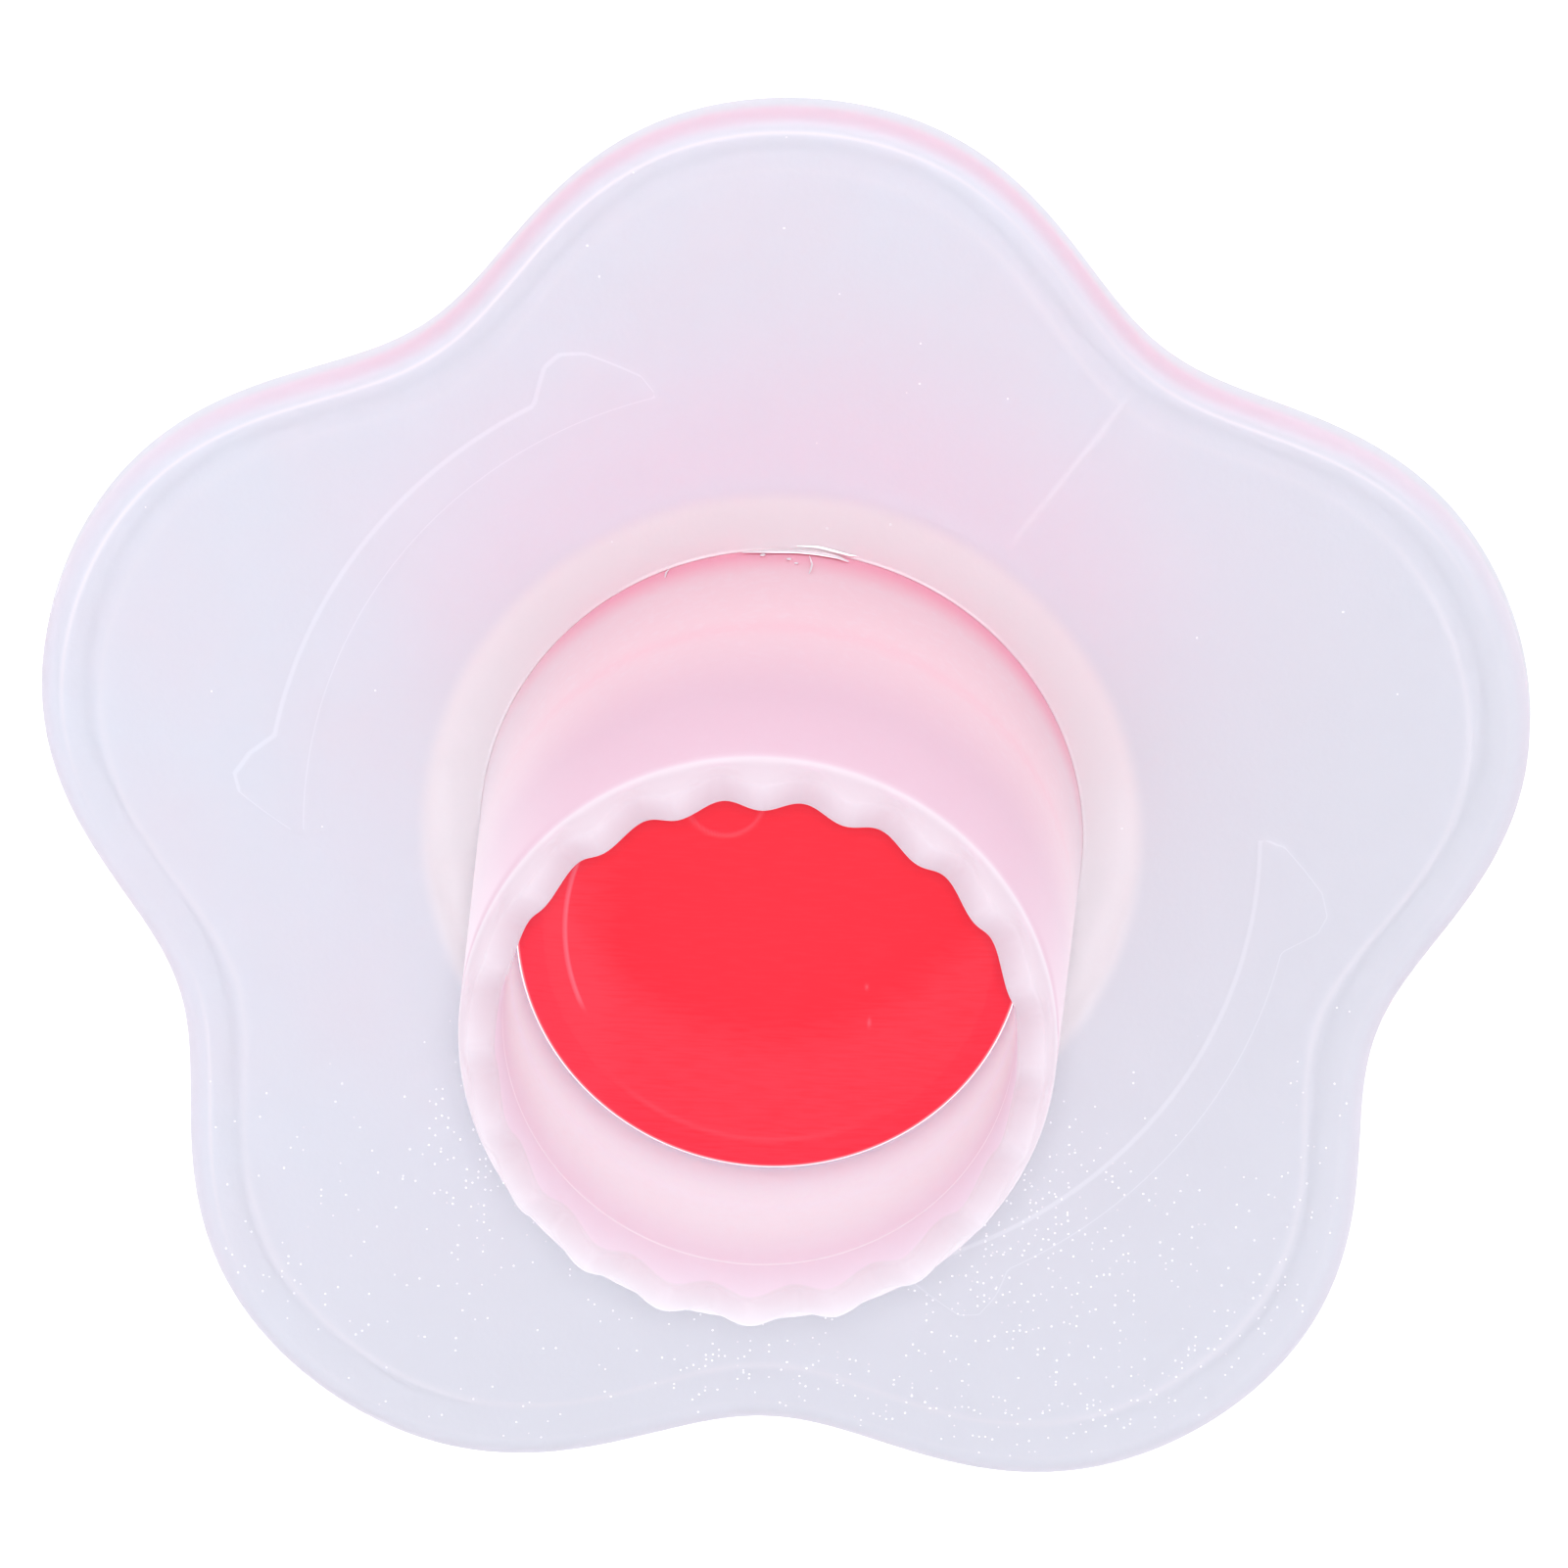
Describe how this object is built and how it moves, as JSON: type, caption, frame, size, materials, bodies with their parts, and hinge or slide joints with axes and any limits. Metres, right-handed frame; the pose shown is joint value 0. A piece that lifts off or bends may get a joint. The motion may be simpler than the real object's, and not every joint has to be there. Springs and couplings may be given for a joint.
{
  "type": "cupcake corer",
  "caption": "Flower-shaped hand plate carrying a toothed cutter tube, with a sliding push plunger inside that drives the cut core of cake out of the mouth.",
  "frame": {"origin": "on the tube's axis, at the flat end of the push knob that the corer stands on", "axes": "+Z along the tube's axis, from the knob towards the toothed mouth; +Y towards the tip of one petal; +X to the right of it, across the widest pair of petals"},
  "size_m": [0.0708, 0.0689, 0.0598],
  "materials": {
    "frosted_polypropylene": "frosted, translucent",
    "translucent_polypropylene": "satin, translucent",
    "red_polypropylene": "satin"
  },
  "bodies": {
    "corer_body": {"flower_handle": "frosted_polypropylene", "cutter_tube": "translucent_polypropylene"},
    "plunger": {"piston": "red_polypropylene", "push_knob": "red_polypropylene"}
  },
  "joints": [
    {"name": "plunger_slide", "type": "slide", "parent": "corer_body", "child": "plunger", "axis": [0, 0, 1], "range_m": [-0.0132, 0.0165]}
  ]
}
